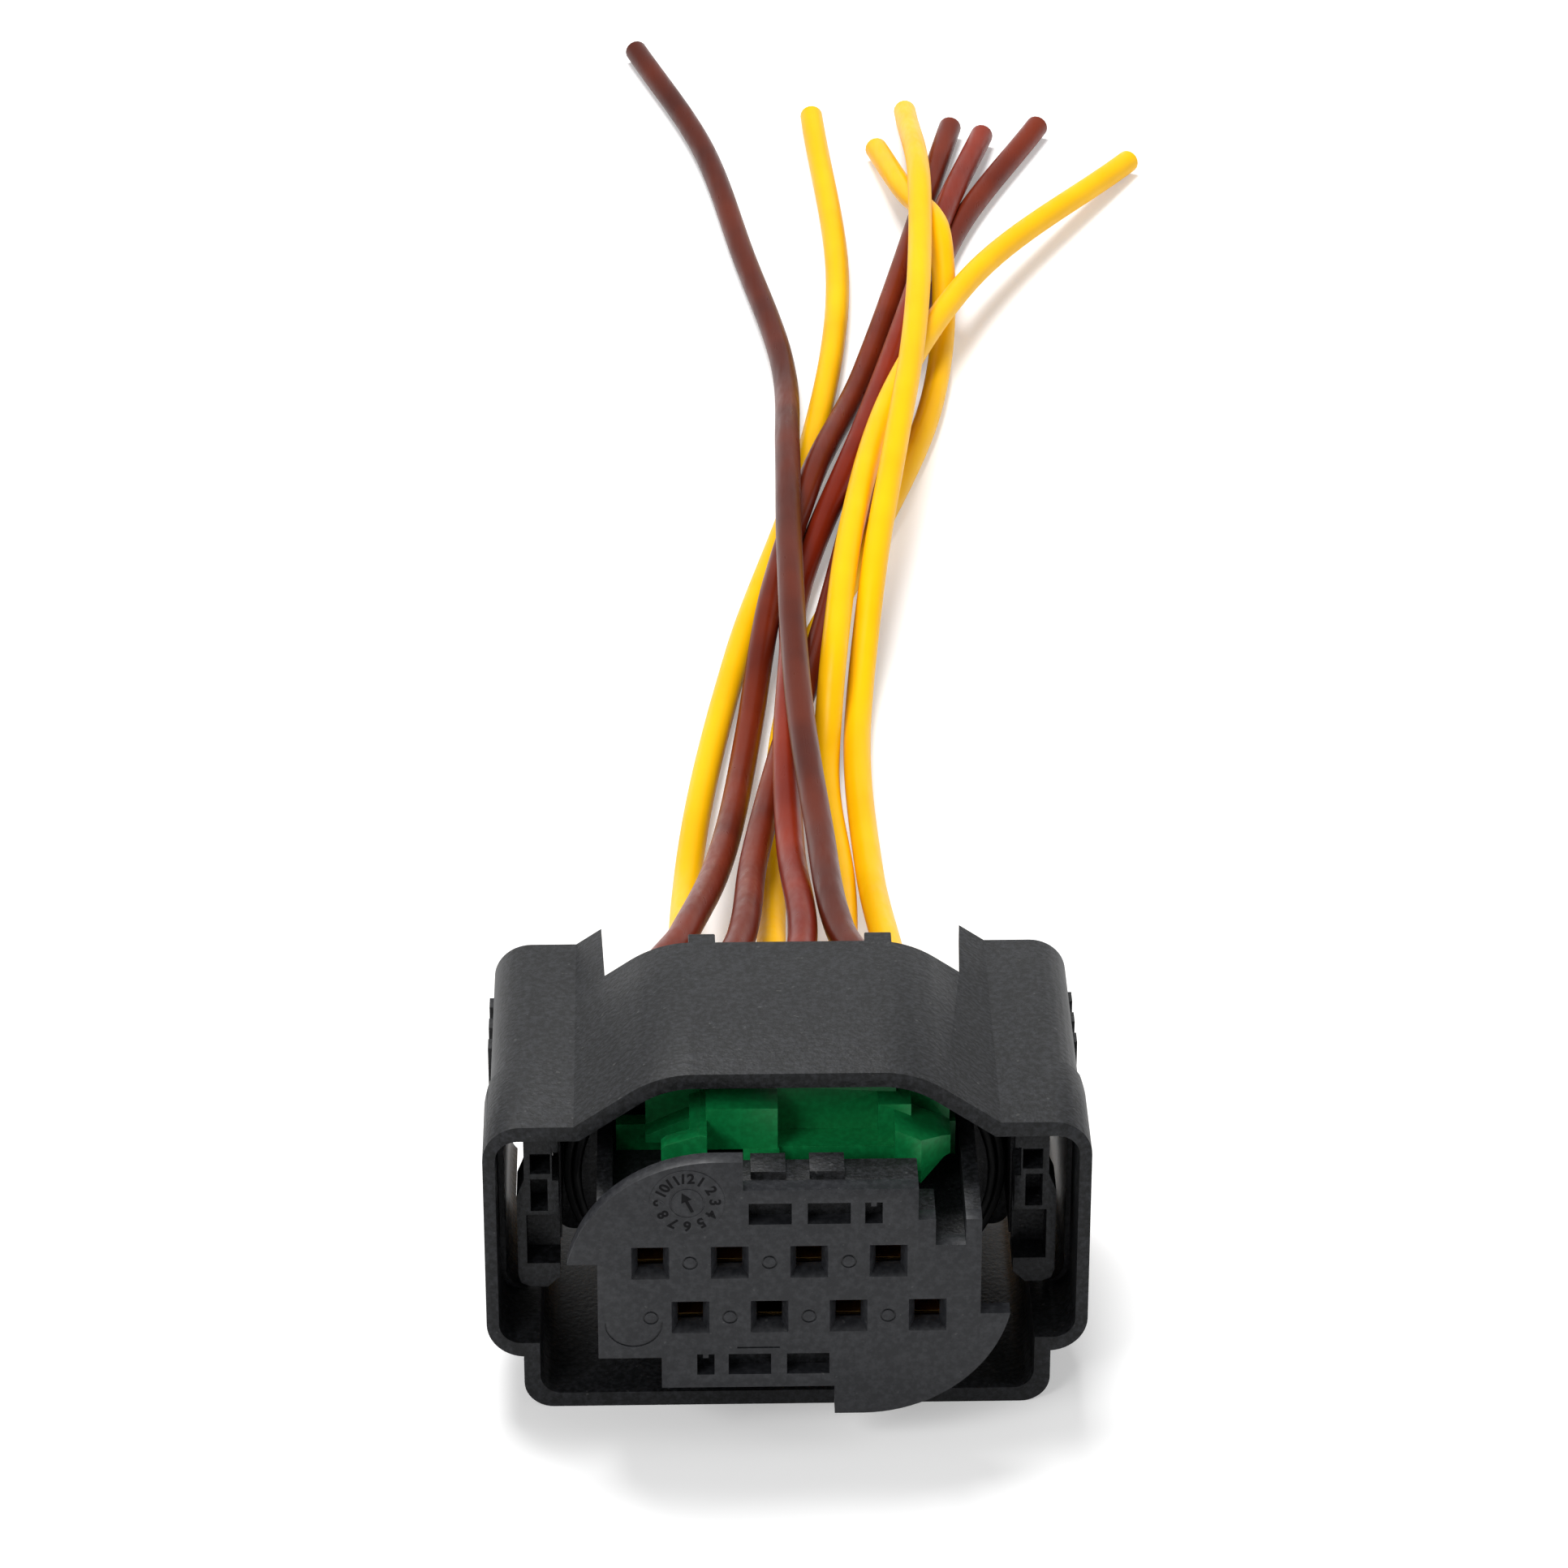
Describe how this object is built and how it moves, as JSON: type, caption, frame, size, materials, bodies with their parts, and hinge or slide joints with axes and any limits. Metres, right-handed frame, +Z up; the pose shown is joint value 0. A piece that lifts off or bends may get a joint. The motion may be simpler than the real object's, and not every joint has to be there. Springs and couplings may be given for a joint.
{
  "type": "sealed automotive connector",
  "caption": "Sealed oval plug with a stepped terminal face, green secondary lock, sliding black lock sleeve over side latches, and a loose pigtail of brown and yellow wires",
  "frame": {"origin": "On the rest plane under the middle of the plug, half way between the mating face and the rear cover's end", "axes": "X runs across the plug, +Y points from the mating face to the wires along the mating axis, Z is up"},
  "size_m": [0.0562, 0.2337, 0.0251],
  "materials": {
    "black_plastic": "fine eroded grain",
    "grey_plastic": "smooth satin",
    "green_plastic": "smooth satin",
    "seal_rubber": "soft satin",
    "terminal_metal": "stamped and plated",
    "brown_jacket": "drawn satin gloss",
    "yellow_jacket": "drawn satin gloss"
  },
  "bodies": {
    "plug": {"housing": "black_plastic", "terminal_carrier": "black_plastic", "left_latch": "black_plastic", "right_latch": "black_plastic", "front_cap": "grey_plastic", "interface_seal": "seal_rubber", "wire_seal": "seal_rubber", "rear_cover": "black_plastic", "terminal_1": "terminal_metal", "terminal_2": "terminal_metal", "terminal_3": "terminal_metal", "terminal_4": "terminal_metal", "terminal_5": "terminal_metal", "terminal_6": "terminal_metal", "terminal_7": "terminal_metal", "terminal_8": "terminal_metal", "wire_1": "brown_jacket", "wire_2": "brown_jacket", "wire_3": "brown_jacket", "wire_4": "brown_jacket", "wire_5": "yellow_jacket", "wire_6": "yellow_jacket", "wire_7": "yellow_jacket", "wire_8": "yellow_jacket"},
    "sleeve": {"lock_sleeve": "black_plastic"},
    "lock": {"secondary_lock": "green_plastic"}
  },
  "joints": [
    {"name": "sleeve_slide", "type": "slide", "parent": "plug", "child": "sleeve", "axis": [0, 1, 0], "range_m": [0, 0.005]},
    {"name": "lock_press", "type": "slide", "parent": "plug", "child": "lock", "axis": [0, 0, -1], "range_m": [0, 0.0012]}
  ]
}
